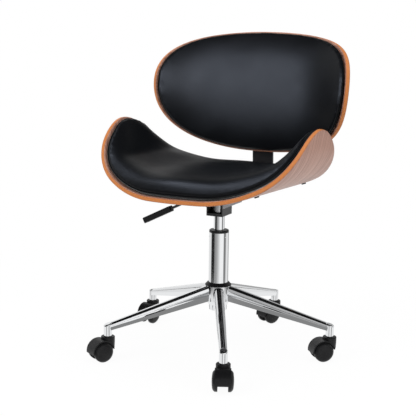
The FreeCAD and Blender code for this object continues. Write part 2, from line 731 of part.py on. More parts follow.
def lever_grip():
    """Modelled along +X from the rod's axis, then turned down along the lever."""
    half = 0.5 * grip_height
    notch = grip_length - grip_notch_from_end
    outline = [Vector(0, 0, -half), Vector(grip_length, 0, -half), Vector(grip_length, 0, half),
               Vector(notch + 0.5 * grip_notch_width, 0, half),
               Vector(notch, 0, half - grip_notch_depth),
               Vector(notch - 0.5 * grip_notch_width, 0, half), Vector(0, 0, half)]
    grip = Part.Face(polygon(outline)).extrude(Vector(0, grip_width, 0))
    grip.translate(Vector(0, -0.5 * grip_width, 0))
    long_edges = [edge for edge in grip.Edges
                  if edge.BoundBox.XLength > 0.5 * grip_length
                  or (edge.BoundBox.YLength > 0.5 * grip_width
                      and min(edge.BoundBox.XMin, grip_length - edge.BoundBox.XMax) < tiny)]
    grip = grip.makeFillet(grip_edge_radius, long_edges)
    rod_depth = (lever_end_x - grip_start_x) / math.cos(math.radians(lever_slope))
    rod_start = Vector(-cut_margin, 0, 0)
    grip = grip.cut(Part.makeCylinder(lever_radius, rod_depth + cut_margin, rod_start, across))
    grip.rotate(Vector(0, 0, 0), along, 180 - lever_slope)
    grip.translate(lever_point(grip_start_x))
    return grip


def save_lever():
    save("lever_rod", lever_rod())
    save("lever_grip", lever_grip())
    pin_half = 0.5 * lever_eye_width + face_gap + ear_thickness
    start = Vector(-lever_pivot_x, -pin_half, lever_z)
    save("lever_pivot_pin", Part.makeCylinder(pivot_radius, 2 * pin_half, start, along))


# Bent plywood shells. A shell's section across is flat in the middle and bends up in arcs.
# Its outline is a rounded form in which the share of the half width and the share of the
# reach along the shell, each raised to its own power, add up to one.
def surface_place(s, flat, bends):
    """Across and out coordinates, and the slope, at a distance s along the bent surface."""
    side = -1.0 if s < 0 else 1.0
    left = max(abs(s) - flat, 0.0)
    x = min(abs(s), flat)
    n = 0.0
    slope = 0.0
    for radius, angle in bends:
        turn = min(left / radius, math.radians(angle))
        x += radius * (math.sin(slope + turn) - math.sin(slope))
        n += radius * (math.cos(slope) - math.cos(slope + turn))
        slope += turn
        left -= turn * radius
    x += left * math.cos(slope)
    n += left * math.sin(slope)
    return side, x, n, slope


def surface_point(s, t, off, flat, bends):
    """Point at s across, t along and off inwards from the outer face."""
    side, x, n, slope = surface_place(s, flat, bends)
    return Vector(side * (x - off * math.sin(slope)), t, n + off * math.cos(slope))


seat_form = {"flat": seat_flat_half_width, "bends": seat_bends, "half": seat_half_width,
             "front": seat_front_reach, "rear": seat_rear_reach, "side_power": seat_side_power,
             "front_power": seat_front_power, "rear_power": seat_rear_power, "sweep": seat_wing_sweep}
back_form = {"flat": back_flat_half_width, "bends": back_bends, "half": back_half_width,
             "front": back_lower_reach, "rear": back_upper_reach, "side_power": back_side_power,
             "front_power": back_lower_power, "rear_power": back_upper_power, "sweep": 0.0}


def reach_along(form, share):
    """Front and rear ends of the shell at a share of its half width."""
    open_share = 1.0 - abs(share) ** form["side_power"]
    front = -form["front"] * open_share ** (1.0 / form["front_power"])
    rear = form["rear"] * open_share ** (1.0 / form["rear_power"])
    sweep = form["sweep"] * share * share
    return front + sweep, rear + sweep


def station_shares(end):
    """Shares of the half width, closer together towards the tips."""
    last = math.asin(end)
    return [math.sin(last * k / half_stations) for k in range(-half_stations, half_stations + 1)]


def plywood_shell(form):
    """Bent sheet, trimmed to its outline by a body lofted across it."""
    flat = form["flat"]
    bends = form["bends"]
    total = form["half"] + trim_overhang
    arcs = []
    for off in (0.0, ply_thickness):
        stops = [0.0, flat]
        for radius, angle in bends:
            stops.append(stops[-1] + radius * math.radians(angle))
        edges = []
        for a, b in zip(stops[1:-1], stops[2:]):
            ends = [surface_point(s, 0, off, flat, bends) for s in (a, 0.5 * (a + b), b)]
            edges.append(Part.Arc(*ends).toShape())
        tail_end = max(total, stops[-1] + trim_overhang)
        tail = [surface_point(s, 0, off, flat, bends) for s in (stops[-1], tail_end)]
        edges.append(Part.LineSegment(*tail).toShape())
        arcs.append(edges)
    mirrored = [[edge.mirror(Vector(0, 0, 0), across) for edge in edges] for edges in arcs]
    rim = []
    for side in (arcs, mirrored):
        tips = [edges[-1].Vertexes for edges in side]
        far = [max(ends, key=lambda v: abs(v.X) + v.Z).Point for ends in tips]
        rim.append(Part.LineSegment(*far).toShape())
    middle = []
    for off in (0.0, ply_thickness):
        middle.append(Part.LineSegment(Vector(-flat, 0, off), Vector(flat, 0, off)).toShape())
    loose = arcs[0] + arcs[1] + mirrored[0] + mirrored[1] + rim + middle
    profile = Part.Wire(Part.__sortEdges__(loose))
    length = form["front"] + form["rear"] + 4 * trim_overhang
    sheet = Part.Face(profile).extrude(Vector(0, length, 0))
    sheet.translate(Vector(0, -form["front"] - 2 * trim_overhang, 0))
    sections = []
    for share in station_shares(shell_end):
        front, rear = reach_along(form, share)
        s = share * form["half"]
        low = -trim_overhang
        high = ply_thickness + trim_overhang
        corners = [(front, low), (rear, low), (rear, high), (front, high)]
        sections.append(polygon([surface_point(s, t, off, flat, bends) for t, off in corners]))
    return sheet.common(Part.makeLoft(sections, True, False))


def padding(form, inset, edge_height, swell, crown):
    """Crowned pad with drawn-in sides, lofted across the shell."""
    flat = form["flat"]
    bends = form["bends"]
    half = form["half"] - inset
    base = ply_thickness + pad_gap
    sections = []
    for share in station_shares(pad_end):
        front, rear = reach_along(form, share)
        s = share * half
        front += inset
        rear -= inset
        room = 0.5 * (rear - front)
        tuck = min(pad_tuck, pad_tuck_limit * room)
        roll = min(pad_roll, pad_roll_limit * room)
        thin = max(abs(s) - (half - pad_tip_radius), 0.0) / pad_tip_radius
        thinning = math.sqrt(1.0 - pad_tip_thinning * thin * thin)
        edge = (edge_height + swell * (1.0 - abs(share) ** pad_swell_power)) * thinning
        rise = crown * (1.0 - abs(share) ** pad_crown_power) * thinning
        top = edge + max(rise, pad_least_crown * room)

        def point(t, height):
            return surface_point(s, t, base + height, flat, bends)

        foot_front = point(front + tuck, 0)
        foot_rear = point(rear - tuck, 0)
        top_front = point(front + roll, edge)
        top_rear = point(rear - roll, edge)
        sections.append(Part.Wire([
            Part.LineSegment(foot_front, foot_rear).toShape(),
            Part.Arc(foot_rear, point(rear, 0.5 * edge), top_rear).toShape(),
            Part.Arc(top_rear, point(0.5 * (front + rear), top), top_front).toShape(),
            Part.Arc(top_front, point(front, 0.5 * edge), foot_front).toShape()]))
    return Part.makeLoft(sections, True, False)


def surface_frame(s, t, form):
    """Placement on the outer face with its +Z pointing into the plywood."""
    side, _, _, slope = surface_place(s, form["flat"], form["bends"])
    place = surface_point(s, t, 0, form["flat"], form["bends"])
    return Placement(place, Rotation(along, -side * math.degrees(slope)))


def side_screw_places():
    return [surface_frame(side * side_screw_s, t, seat_form)
            for side in (-1, 1) for t in (side_screw_front_t, side_screw_rear_t)]


def bracket_holes(ts):
    return [(sx * 0.5 * bracket_bolt_spacing_x, t) for sx in (-1, 1) for t in ts]


def seat_shell():
    shell = plywood_shell(seat_form)
    depth = ply_thickness - bolt_end_cover + bolt_clearance
    for x, t in plate_bolt_places() + bracket_holes(bracket_seat_bolts_t):
        shell = shell.cut(cylinder(bolt_radius + bolt_clearance, -cut_margin, depth, x, t))
    hole = cylinder(side_screw_radius + bolt_clearance, -cut_margin, depth)
    for place in side_screw_places():
        shell = shell.cut(in_frame(hole, place))
    return in_frame(shell, seat_frame)


def back_shell():
    shell = plywood_shell(back_form)
    depth = ply_thickness - bolt_end_cover + bolt_clearance
    for x, t in bracket_holes(bracket_back_bolts_t):
        shell = shell.cut(cylinder(bolt_radius + bolt_clearance, -cut_margin, depth, x, t))
    return in_frame(shell, back_frame)


def save_shells():
    save("seat_shell", seat_shell())
    seat_pad = padding(seat_form, seat_pad_inset, seat_pad_edge, seat_pad_swell, seat_pad_crown)
    save("seat_pad", in_frame(seat_pad, seat_frame))
    save("back_shell", back_shell())
    back_pad = padding(back_form, back_pad_inset, back_pad_edge, back_pad_swell, back_pad_crown)
    save("back_pad", in_frame(back_pad, back_frame))
    screw = button_screw(side_screw_radius, ply_thickness - bolt_end_cover, side_screw_head_radius,
                         side_screw_head_height, side_screw_head_rounding)
    placed = [in_frame(in_frame(screw, place), seat_frame) for place in side_screw_places()]
    save("seat_side_screws", *placed)


# Back bracket: one flat steel bar, bolted under the seat, that bends up behind the seat's
# rear edge, leans forward to the back and runs up its rear face.
def strip_side(points, radii, offset):
    """One face of a bent bar: straight runs moved sideways, joined by tangent arcs."""
    lines = []
    for a, b in zip(points[:-1], points[1:]):
        run = (b - a).normalize()
        shift = Vector(0, -run.z, run.y) * offset
        lines.append((a + shift, b + shift, run))
    corners = [lines[0][0]]
    for (a, _, u), (b, _, v) in zip(lines[:-1], lines[1:]):
        cross = u.y * v.z - u.z * v.y
        reach = ((b.y - a.y) * v.z - (b.z - a.z) * v.y) / cross
        corners.append(a + u * reach)
    corners.append(lines[-1][1])
    edges = []
    start = corners[0]
    for corner, line, following, radius in zip(corners[1:-1], lines[:-1], lines[1:], radii):
        u = line[2]
        v = following[2]
        turn = u.getAngle(v)
        left = 1.0 if u.y * v.z - u.z * v.y > 0 else -1.0
        bend = radius - left * offset
        setback = bend * math.tan(0.5 * turn)
        first = corner - u * setback
        last = corner + v * setback
        inward = (v - u).normalize()
        middle = corner + inward * (bend / math.cos(0.5 * turn) - bend)
        edges.append(Part.LineSegment(start, first).toShape())
        edges.append(Part.Arc(first, middle, last).toShape())
        start = last
    edges.append(Part.LineSegment(start, corners[-1]).toShape())
    return edges, corners[0], corners[-1]


def frame_point(frame, t, n):
    """Point on the middle plane of the seat's or the back's frame."""
    return frame.multVec(Vector(0, t, n))


def bracket_route():
    """Points of the bar's middle line, from under the seat to its end behind the back."""
    middle = -0.5 * bracket_thickness
    start = frame_point(seat_frame, bracket_seat_start_t, middle)
    corner_t = seat_rear_reach + bracket_rear_gap + 0.5 * bracket_thickness
    corner = frame_point(seat_frame, corner_t, middle)
    contact = frame_point(back_frame, bracket_contact_t, middle)
    end = frame_point(back_frame, bracket_end_t, middle)
    return [start, corner, contact, end]


def back_bracket():
    route = bracket_route()
    radii = [bracket_seat_radius, bracket_back_radius]
    half = 0.5 * bracket_thickness
    inner, inner_start, inner_end = strip_side(route, radii, half)
    outer, outer_start, outer_end = strip_side(route, radii, -half)
    caps = [Part.LineSegment(inner_start, outer_start).toShape(),
            Part.LineSegment(inner_end, outer_end).toShape()]
    profile = Part.Wire(Part.__sortEdges__(inner + outer + caps))
    bar = Part.Face(profile).extrude(Vector(bracket_width, 0, 0))
    bar.translate(Vector(-0.5 * bracket_width, 0, 0))
    ends = [route[0], route[-1]]
    corners = [edge for edge in bar.Edges
               if edge.Length < bracket_thickness + tiny
               and min(edge.CenterOfMass.distanceToPoint(Vector(edge.CenterOfMass.x, end.y, end.z))
                       for end in ends) < tiny]
    bar = bar.makeFillet(bracket_corner_radius, corners)
    for frame, ts in ((seat_frame, bracket_seat_bolts_t), (back_frame, bracket_back_bolts_t)):
        for x, t in bracket_holes(ts):
            hole = cylinder(bolt_radius + bolt_clearance, -bracket_thickness - cut_margin, cut_margin, x, t)
            bar = bar.cut(in_frame(hole, frame))
    return bar


def save_bracket():
    save("back_bracket", back_bracket())
    shank = bracket_thickness + ply_thickness - bolt_end_cover
    bolt = button_screw(bolt_radius, shank, bolt_head_radius, bolt_head_height, bolt_head_rounding)
    bolts = []
    for frame, ts in ((seat_frame, bracket_seat_bolts_t), (back_frame, bracket_back_bolts_t)):
        for x, t in bracket_holes(ts):
            placed = bolt.copy()
            placed.translate(Vector(x, t, -bracket_thickness))
            bolts.append(in_frame(placed, frame))
    save("bracket_bolts", *bolts)


save_casters()
save_base()
save_column()
save_mechanism()
save_lever()
save_shells()
save_bracket()
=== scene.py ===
import json
import math

import bmesh
import bpy
from mathutils import Matrix, Vector
from mathutils.bvhtree import BVHTree
import numpy as np


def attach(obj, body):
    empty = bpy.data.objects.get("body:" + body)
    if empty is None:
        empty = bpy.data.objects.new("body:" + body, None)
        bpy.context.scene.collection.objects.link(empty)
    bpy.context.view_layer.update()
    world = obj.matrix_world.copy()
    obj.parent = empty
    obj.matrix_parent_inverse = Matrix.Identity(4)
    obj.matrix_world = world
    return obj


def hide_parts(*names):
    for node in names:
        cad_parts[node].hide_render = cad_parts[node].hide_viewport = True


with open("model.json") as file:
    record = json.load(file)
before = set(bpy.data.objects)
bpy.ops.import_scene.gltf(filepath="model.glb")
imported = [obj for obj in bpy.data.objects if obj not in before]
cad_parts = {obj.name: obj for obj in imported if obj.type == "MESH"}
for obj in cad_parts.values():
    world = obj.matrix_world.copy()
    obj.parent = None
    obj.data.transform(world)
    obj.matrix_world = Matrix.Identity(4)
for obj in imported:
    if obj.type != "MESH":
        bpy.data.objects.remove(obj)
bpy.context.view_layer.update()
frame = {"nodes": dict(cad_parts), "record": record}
scene = bpy.context.scene
scene.view_settings.view_transform = "Standard"


# Camera
# The viewpoint is a little above the seat, to the sitter's left of the front, with a long
# lens, as a shop takes its pictures of chairs.
camera_place = Vector((1.056, -2.2305, 0.834))
camera_turn = math.radians(26.0)        # to the left of straight back
camera_drop = math.radians(10.76)
camera_roll = 0.0138
camera_lens = 86.66
camera_film = 36.0

ahead = Vector((-math.sin(camera_turn) * math.cos(camera_drop),
                math.cos(camera_turn) * math.cos(camera_drop), -math.sin(camera_drop)))
rightward = Vector((math.cos(camera_turn), math.sin(camera_turn), 0))
upward = rightward.cross(ahead)
camera_data = bpy.data.cameras.new("camera")
camera_data.lens = camera_lens
camera_data.sensor_width = camera_film
camera = bpy.data.objects.new("camera", camera_data)
scene.collection.objects.link(camera)
turn = Matrix((rightward, upward, -ahead)).transposed().to_4x4()
camera.matrix_world = Matrix.Translation(camera_place) @ turn @ Matrix.Rotation(camera_roll, 4, "Z")
scene.camera = camera


# Studio
# A white floor and white walls with dark gaps between the lamps. Polished metal shows those
# gaps as dark stripes, so the metal's reflections get them and nothing else does.
def node_of(tree, kind, **inputs):
    """Add a node, with values for its sockets by name, where _ stands for a space."""
    made = tree.nodes.new(kind)
    for name, value in inputs.items():
        made.inputs[name.replace("_", " ")].default_value = value
    return made


def feed(tree, socket, value):
    """Link a socket to another, or set its value."""
    if isinstance(value, bpy.types.NodeSocket):
        tree.links.new(value, socket)
    elif value is not None:
        socket.default_value = value


def arithmetic(tree, operation, first, second=None):
    """Add a Math node fed by sockets or numbers, and give its result."""
    made = tree.nodes.new("ShaderNodeMath")
    made.operation = operation
    feed(tree, made.inputs[0], first)
    feed(tree, made.inputs[1], second)
    return made.outputs[0]


def mixed(tree, factor, first, second, blend="MIX", kind="RGBA"):
    """Add a Mix node for colours or vectors, and give its result."""
    made = tree.nodes.new("ShaderNodeMix")
    made.data_type = kind
    if kind == "RGBA":
        made.blend_type = blend
    live = [socket for socket in made.inputs if socket.enabled]
    for socket, value in zip(live, (factor, first, second)):
        feed(tree, socket, value)
    return [socket for socket in made.outputs if socket.enabled][0]


def switched(tree, factor, first, second):
    """Add a Mix Shader node between two shaders."""
    made = tree.nodes.new("ShaderNodeMixShader")
    feed(tree, made.inputs["Fac"], factor)
    tree.links.new(first, made.inputs[1])
    tree.links.new(second, made.inputs[2])
    return made.outputs[0]


def ramp(tree, value, stops):
    """Add a Color Ramp with stops of (place, grey or colour)."""
    made = tree.nodes.new("ShaderNodeValToRGB")
    elements = made.color_ramp.elements
    while len(elements) < len(stops):
        elements.new(1.0)
    for element, (place, shade) in zip(elements, stops):
        element.position = place
        colour = shade if isinstance(shade, tuple) else (shade, shade, shade)
        element.color = (*colour, 1.0)
    tree.links.new(value, made.inputs["Fac"])
    return made.outputs["Color"]


# Brightness round the room by compass angle in degrees from +X. The walls and the floor far
# off share one list. The floor close by is white, with two grey patches of painted shade, standing for the
# chair's shadow on the floor, for the arms' sides to reflect.
wall_stops = [(-180, 0.80), (-166, 0.84), (-156, 0.05), (-150, 0.02), (-120, 0.02), (-112, 0.26),
              (-93, 0.36), (-81, 0.46), (-69, 0.61), (-58, 0.80), (-46, 1.0), (-9, 1.0), (-3, 0.22),
              (21, 0.25), (30, 0.82), (62, 0.86), (80, 0.35), (104, 0.45), (116, 0.95), (180, 0.80)]
floor_shade_stops = [(-180, 0.92), (-104, 0.92), (-98, 0.25), (-86, 0.27), (-80, 0.92), (-38, 0.92), (-32, 0.24),
               (-18, 0.26), (-12, 0.92), (180, 0.92)]
# Brightness of the walls by the upward share of a direction: dark skirting, wall, dark ceiling
height_stops = [(0.0, 0.04), (0.03, 0.04), (0.05, 1.0), (0.58, 1.0), (0.64, 0.01)]
# How much of the floor close by shows, by the downward share of a direction
steep_stops = [(0.262, 0.0), (0.274, 1.0)]
paper_white = 0.86
ambient_light = 0.55


def compass_ramp(tree, split, stops):
    """Brightness that depends on the compass angle of a direction."""
    angle = arithmetic(tree, "ARCTAN2", split.outputs["Y"], split.outputs["X"])
    share = arithmetic(tree, "ADD", arithmetic(tree, "DIVIDE", angle, 2 * math.pi), 0.5)
    return ramp(tree, share, [((degrees + 180) / 360, shade) for degrees, shade in stops])


def seen_by(tree, shown, mirrored, plain):
    """Give camera rays, reflections and soft light a shader each. Soft light that only feeds
    what a reflection shows is left out, so that undersides stay dark in the chrome."""
    ray = tree.nodes.new("ShaderNodeLightPath").outputs
    unlit = node_of(tree, "ShaderNodeEmission", Strength=0.0)
    in_mirror = arithmetic(tree, "GREATER_THAN", ray["Glossy Depth"], 0.5)
    soft = switched(tree, in_mirror, plain, unlit.outputs[0])
    soft = switched(tree, ray["Is Glossy Ray"], soft, mirrored)
    return switched(tree, ray["Is Camera Ray"], soft, shown)


world = bpy.data.worlds.new("studio")
world.use_nodes = True
scene.world = world
tree = world.node_tree
tree.nodes.clear()
split = tree.nodes.new("ShaderNodeSeparateXYZ")
tree.links.new(tree.nodes.new("ShaderNodeTexCoord").outputs["Generated"], split.inputs[0])
storeys = ramp(tree, split.outputs["Z"], height_stops)
seen = node_of(tree, "ShaderNodeBackground", Color=(1, 1, 1, 1), Strength=1.0)
mirrored = node_of(tree, "ShaderNodeBackground", Strength=1.0)
walls = compass_ramp(tree, split, wall_stops)
tree.links.new(mixed(tree, 1.0, walls, storeys, "MULTIPLY"), mirrored.inputs["Color"])
ambient = node_of(tree, "ShaderNodeBackground", Color=(0.95, 0.97, 1, 1), Strength=ambient_light)
room = seen_by(tree, seen.outputs[0], mirrored.outputs[0], ambient.outputs[0])
tree.links.new(room, tree.nodes.new("ShaderNodeOutputWorld").inputs["Surface"])

# The floor is white paper. Far off it is plain white, so that no horizon shows.
floor_radius = 12.0
floor_mesh = bmesh.new()
bmesh.ops.create_circle(floor_mesh, cap_ends=True, segments=96, radius=floor_radius)
floor_data = bpy.data.meshes.new("floor")
floor_mesh.to_mesh(floor_data)
floor_mesh.free()
floor = bpy.data.objects.new("floor", floor_data)
scene.collection.objects.link(floor)

paper = bpy.data.materials.new("floor_paper")
paper.use_nodes = True
tree = paper.node_tree
tree.nodes.clear()
geometry = tree.nodes.new("ShaderNodeNewGeometry").outputs
backward = tree.nodes.new("ShaderNodeVectorMath")
backward.operation = "SCALE"
backward.inputs["Scale"].default_value = -1.0
tree.links.new(geometry["Incoming"], backward.inputs[0])
split = tree.nodes.new("ShaderNodeSeparateXYZ")
tree.links.new(backward.outputs["Vector"], split.inputs[0])
steepness = arithmetic(tree, "MULTIPLY", split.outputs["Z"], -1.0)
close = ramp(tree, steepness, steep_stops)
# What reflections see of the floor: the room far off, and close by the painted shade of the chair's shadow
pattern = mixed(tree, close, compass_ramp(tree, split, wall_stops), compass_ramp(tree, split, floor_shade_stops))
mirrored = tree.nodes.new("ShaderNodeEmission")
tree.links.new(pattern, mirrored.inputs["Color"])
matt = node_of(tree, "ShaderNodeBsdfDiffuse", Color=(paper_white, paper_white, paper_white, 1))
white = node_of(tree, "ShaderNodeEmission", Color=(1, 1, 1, 1), Strength=1.0)
distance = tree.nodes.new("ShaderNodeVectorMath")
distance.operation = "LENGTH"
tree.links.new(tree.nodes.new("ShaderNodeTexCoord").outputs["Object"], distance.inputs[0])
near_share = arithmetic(tree, "DIVIDE", distance.outputs["Value"], floor_radius)
whiteness = ramp(tree, near_share, [(0.03, 0.955), (0.1, 1.0)])
faded = switched(tree, whiteness, matt.outputs[0], white.outputs[0])
ground = seen_by(tree, faded, mirrored.outputs[0], matt.outputs[0])
tree.links.new(ground, tree.nodes.new("ShaderNodeOutputMaterial").inputs["Surface"])
floor_data.materials.append(paper)


def area_lamp(name, where, target, watts, width, height=None):
    """Add a lamp that faces a place: a disk, or a rectangle where it has a height."""
    data = bpy.data.lights.new(name, "AREA")
    data.shape = "RECTANGLE" if height else "DISK"
    data.size = width
    if height:
        data.size_y = height
    data.energy = watts
    lamp = bpy.data.objects.new(name, data)
    scene.collection.objects.link(lamp)
    lamp.location = where
    lamp.rotation_euler = (Vector(target) - Vector(where)).to_track_quat("-Z", "Y").to_euler()
    return lamp


# Soft lamps: a large one at the front left, one overhead and a low one at the right
chair_middle = (0, 0, 0.4)
for name, where, watts, width in (("front_lamp", (-1.6, -2.6, 2.3), 62.0, 2.2),
                                  ("top_lamp", (0.2, 0.2, 3.2), 52.0, 2.6),
                                  ("side_lamp", (2.6, -0.6, 1.4), 22.0, 1.8)):
    area_lamp(name, where, chair_middle, watts, width).visible_glossy = False


# Chromed steel
# The arms, their caster sockets, the hub and the column are mild steel, polished and chromed.
# The arms are folded from sheet, so their edges are rounded, and all are welded to the hub.
def shader_group(name, inputs, outputs):
    """Start a shader node group with named sockets: (name, kind) or (name, kind, value)."""
    group = bpy.data.node_groups.new(name, "ShaderNodeTree")
    for socket in inputs:
        made = group.interface.new_socket(socket[0], in_out="INPUT", socket_type="NodeSocket" + socket[1])
        if len(socket) > 2:
            made.default_value = socket[2]
    for socket in outputs:
        group.interface.new_socket(socket[0], in_out="OUTPUT", socket_type="NodeSocket" + socket[1])
    return group, group.nodes.new("NodeGroupInput").outputs, group.nodes.new("NodeGroupOutput").inputs


def own_place(tree):
    """Coordinates that stay fixed on the piece."""
    return tree.nodes.new("ShaderNodeTexCoord").outputs["Object"]


def noise(tree, vector, scale, detail=3.0, roughness=0.5):
    """Add a Noise Texture, and give its grey pattern."""
    made = node_of(tree, "ShaderNodeTexNoise", Detail=detail, Roughness=roughness)
    feed(tree, made.inputs["Scale"], scale)
    feed(tree, made.inputs["Vector"], vector)
    return made.outputs["Fac"]


def stretch(tree, value, low, high, low_to, high_to):
    """Map one range of values onto another."""
    made = node_of(tree, "ShaderNodeMapRange", From_Min=low, From_Max=high)
    feed(tree, made.inputs["To Min"], low_to)
    feed(tree, made.inputs["To Max"], high_to)
    feed(tree, made.inputs["Value"], value)
    return made.outputs["Result"]


def surface_haze():
    """Uneven polish or sheen: handling marks make a surface slightly duller in patches."""
    group, given, result = shader_group(
        "surface_haze", [("Size", "Float", 20.0), ("Clean", "Float", 0.1), ("Dull", "Float", 0.2)],
        [("Roughness", "Float")])
    patches = noise(group, own_place(group), given["Size"], 4.0, 0.6)
    group.links.new(stretch(group, patches, 0.35, 0.75, given["Clean"], given["Dull"]), result["Roughness"])
    return group


haze_group = surface_haze()


def plain_material(name, colour, metallic=0.0, **inputs):
    """Material with a Principled shader. Gives the material, its tree and the shader."""
    made = bpy.data.materials.new(name)
    made.use_nodes = True
    made.diffuse_color = (*colour, 1)
    shader = made.node_tree.nodes["Principled BSDF"]
    shader.inputs["Base Color"].default_value = (*colour, 1)
    shader.inputs["Metallic"].default_value = metallic
    for socket, value in inputs.items():
        shader.inputs[socket.replace("_", " ")].default_value = value
    return made, made.node_tree, shader


def add_haze(tree, shader, size, clean, dull):
    """Vary the roughness between clean and dull in patches."""
    haze = tree.nodes.new("ShaderNodeGroup")
    haze.node_tree = haze_group
    haze.inputs["Size"].default_value = size
    haze.inputs["Clean"].default_value = clean
    haze.inputs["Dull"].default_value = dull
    tree.links.new(haze.outputs["Roughness"], shader.inputs["Roughness"])


def add_bump(tree, shader, height, strength, distance):
    """Raise the surface by a grey pattern."""
    bump = node_of(tree, "ShaderNodeBump", Strength=strength, Distance=distance)
    tree.links.new(height, bump.inputs["Height"])
    tree.links.new(bump.outputs["Normal"], shader.inputs["Normal"])


chrome, tree, shader = plain_material("chrome", (0.86, 0.87, 0.88), metallic=1.0)
add_haze(tree, shader, 18.0, 0.035, 0.09)

body_of = {node: body for body, nodes in frame["record"]["behaviour"]["bodies"].items() for node in nodes}
slot_of = {entry["node"]: entry["material_slot"] for entry in frame["record"]["subparts"]}


def finish_piece(mesh, name, material, body, smooth_angle=35.0):
    """Turn a bmesh into a smooth-shaded object that rides on a body."""
    bmesh.ops.recalc_face_normals(mesh, faces=mesh.faces)
    data = bpy.data.meshes.new(name)
    mesh.to_mesh(data)
    mesh.free()
    data.shade_smooth()
    data.set_sharp_from_angle(angle=math.radians(smooth_angle))
    data.materials.append(material)
    piece = bpy.data.objects.new(name, data)
    scene.collection.objects.link(piece)
    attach(piece, body)
    return piece


def softened(node, material, rounding, angle=30.0, prepare=None):
    """Stand-in for a rigid solid with its edges rounded, as pressing or moulding leaves them.
    prepare may edit the mesh first, and may give its edges shares of the rounding."""
    mesh = bmesh.new()
    mesh.from_mesh(frame["nodes"][node].data)
    bmesh.ops.remove_doubles(mesh, verts=mesh.verts, dist=1e-6)
    bmesh.ops.dissolve_limit(mesh, angle_limit=math.radians(0.1), verts=mesh.verts, edges=mesh.edges)
    if prepare:
        prepare(mesh)
    by_share = "bevel_weight_edge" in mesh.edges.layers.float
    piece = finish_piece(mesh, node + "_finished", material, body_of[node])
    bevel = piece.modifiers.new("rounded_edges", "BEVEL")
    bevel.width = rounding
    bevel.segments = 4
    bevel.limit_method = "WEIGHT" if by_share else "ANGLE"
    bevel.angle_limit = math.radians(angle)
    bevel.harden_normals = True
    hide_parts(node)


def dress(node, material):
    """Give a solid that keeps its own shape a better material."""
    for slot in frame["nodes"][node].material_slots:
        slot.material = material


arm_edge = 0.0022
arm_count = 5
first_arm_turn = 28.2           # degrees from the front towards +X
socket_top_edge = 0.0036
socket_foot_share = 0.2
socket_edge_angle = math.radians(40)
socket_reach = 0.289            # from the column's axis
arm_fold_tip_z = 0.08115        # where the arm's crown meets its lower sides, at the socket
arm_fold_hub_z = 0.14345        # and at the hub
hub_radius = 0.032
fold_strip = 0.0009


def arm_folds(azimuth):
    """Edit that cuts a narrow strip below the fold, so that the faces beyond shade flat."""
    slope = (arm_fold_hub_z - arm_fold_tip_z) / (socket_reach - hub_radius)
    outward = Vector((math.sin(azimuth), -math.cos(azimuth), 0))
    normal = (Vector((0, 0, 1)) + outward * slope).normalized()
    fold = outward * socket_reach + Vector((0, 0, arm_fold_tip_z))

    def prepare(mesh):
        bmesh.ops.bisect_plane(mesh, geom=mesh.verts[:] + mesh.edges[:] + mesh.faces[:], dist=1e-6,
                               plane_co=fold - normal * fold_strip, plane_no=normal)

    return prepare


def socket_edges(mesh):
    """Give the socket's top edge the full rounding and its foot a share."""
    share = mesh.edges.layers.float.new("bevel_weight_edge")
    middle = 0.5 * (min(vert.co.z for vert in mesh.verts) + max(vert.co.z for vert in mesh.verts))
    for edge in mesh.edges:
        if edge.calc_face_angle(0.0) > socket_edge_angle:
            at_top = min(vert.co.z for vert in edge.verts) > middle
            edge[share] = 1.0 if at_top else socket_foot_share


for node in frame["nodes"]:
    if slot_of[node] == "chrome_plate":
        if node.startswith("base_arm"):
            azimuth = math.radians(first_arm_turn + 360 / arm_count * (int(node[-1]) - 1))
            softened(node, chrome, arm_edge, prepare=arm_folds(azimuth))
        elif node.startswith("caster_socket"):
            softened(node, chrome, socket_top_edge, prepare=socket_edges)
        else:
            dress(node, chrome)


# Black parts
# Casters, collars and the lever's grip are moulded nylon and plastic with a fine spark-eroded
# texture. The mechanism, the bracket and the lever's rod are steel with a satin powder coat.
nylon, tree, shader = plain_material("moulded_nylon", (0.006, 0.006, 0.0065), Specular_IOR_Level=0.3)
add_haze(tree, shader, 60.0, 0.36, 0.48)
add_bump(tree, shader, noise(tree, own_place(tree), 2600.0, 2.0), 0.25, 0.0001)

coated, tree, shader = plain_material("powder_coat", (0.016, 0.016, 0.017))
add_haze(tree, shader, 40.0, 0.32, 0.42)
add_bump(tree, shader, noise(tree, own_place(tree), 900.0, 2.0), 0.15, 0.0002)

grey_coat, tree, shader = plain_material("grey_coat", (0.25, 0.25, 0.26), metallic=0.3)
add_haze(tree, shader, 40.0, 0.30, 0.40)

steel, tree, shader = plain_material("turned_steel", (0.60, 0.60, 0.61), metallic=1.0)
add_haze(tree, shader, 30.0, 0.18, 0.30)

blackened, tree, shader = plain_material("blackened_steel", (0.035, 0.035, 0.037), metallic=0.8)
add_haze(tree, shader, 50.0, 0.30, 0.42)

finishes = {"nylon_black": nylon, "plastic_black": nylon, "painted_steel": coated, "bright_steel": steel,
            "screw_steel": blackened, "grey_steel": grey_coat}
edge_of = {"hood": 0.0009, "mechanism_housing": 0.0008, "mechanism_plate": 0.0005, "back_bracket": 0.0007,
           "hub_cover_ring": 0.0008}
for node in frame["nodes"]:
    if slot_of[node] in finishes:
        edge = next((edge for ending, edge in edge_of.items() if node.endswith(ending)), None)
        if edge:
            softened(node, finishes[slot_of[node]], edge)
        else:
            dress(node, finishes[slot_of[node]])


# Plywood shells
# Seat and back are each one blank of birch plywood with walnut face veneers, cut to its
# outline flat, rounded at the rim and then pressed to its bend. The cut rim shows the core.
ply = 0.011
face_veneer = 0.0007
rim_rounding = 0.0028
rim_angle = 60.0                # degrees between faces, past which an edge is the rim's
shell_rings = 30
shell_segments = 288

